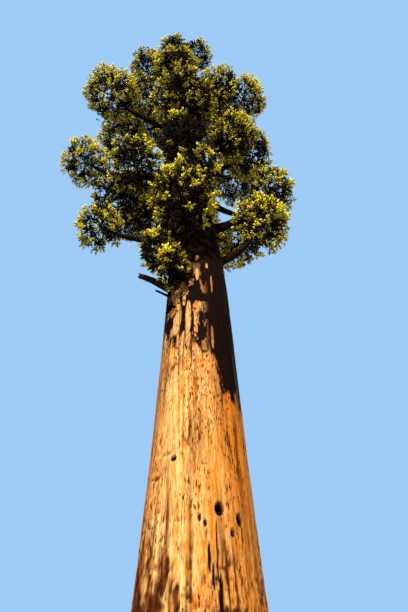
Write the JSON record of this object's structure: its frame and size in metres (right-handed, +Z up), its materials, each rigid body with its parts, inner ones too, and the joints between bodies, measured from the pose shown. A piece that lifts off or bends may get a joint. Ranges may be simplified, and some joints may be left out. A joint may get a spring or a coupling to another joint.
{
  "type": "giant sequoia tree",
  "caption": "Whole giant sequoia: tall fibrous trunk with a flared foot, upturned boughs and dense rounded masses of foliage, on a flat cut at ground level.",
  "frame": {"origin": "middle of the trunk's flat cut at ground level", "axes": "+Z up along the trunk, -Y the tree's front, +X to the right seen from the front"},
  "size_m": [12.6182, 10.1887, 39.9032],
  "materials": {
    "bark": "deep fibrous ridges and furrows, matt, cinnamon orange with brown shadows",
    "bough_bark": "shallow fibrous bark, matt, dull red brown",
    "dead_wood": "weathered bare wood, matt, grey brown",
    "foliage": "scale-leaved sprays in rounded tufts, satin, olive yellow green"
  },
  "bodies": {
    "root": {"bough_back": "bough_bark", "bough_back_high": "bough_bark", "bough_back_left": "bough_bark", "bough_back_left_high": "bough_bark", "bough_back_right": "bough_bark", "bough_back_right_high": "bough_bark", "bough_high_front": "bough_bark", "bough_high_left": "bough_bark", "bough_high_right": "bough_bark", "bough_high_right_front": "bough_bark", "bough_left_far": "bough_bark", "bough_left_mid": "bough_bark", "bough_low_back": "bough_bark", "bough_low_left": "bough_bark", "bough_low_left_far": "bough_bark", "bough_low_right": "bough_bark", "bough_right_far": "bough_bark", "bough_right_mid": "bough_bark", "bough_upper_left": "bough_bark", "bough_upper_right": "bough_bark", "dead_snag": "dead_wood", "dead_stub": "dead_wood", "foliage_back": "foliage", "foliage_back_high": "foliage", "foliage_back_left": "foliage", "foliage_back_left_high": "foliage", "foliage_back_right": "foliage", "foliage_back_right_high": "foliage", "foliage_centre_front": "foliage", "foliage_crown_tip": "foliage", "foliage_high_front": "foliage", "foliage_high_left": "foliage", "foliage_high_left_inner": "foliage", "foliage_high_right": "foliage", "foliage_high_right_front": "foliage", "foliage_left_far": "foliage", "foliage_left_front": "foliage", "foliage_left_mid": "foliage", "foliage_low_back": "foliage", "foliage_low_front": "foliage", "foliage_low_left": "foliage", "foliage_low_left_far": "foliage", "foliage_low_left_inner": "foliage", "foliage_low_right": "foliage", "foliage_low_right_inner": "foliage", "foliage_mid_front": "foliage", "foliage_right_far": "foliage", "foliage_right_inner": "foliage", "foliage_right_mid": "foliage", "foliage_top_back": "foliage", "foliage_top_front": "foliage", "foliage_top_left": "foliage", "foliage_top_right": "foliage", "foliage_trunk_spray": "foliage", "foliage_upper_back": "foliage", "foliage_upper_front": "foliage", "foliage_upper_inner": "foliage", "foliage_upper_left": "foliage", "foliage_upper_right": "foliage", "trunk": "bark"}
  },
  "joints": []
}
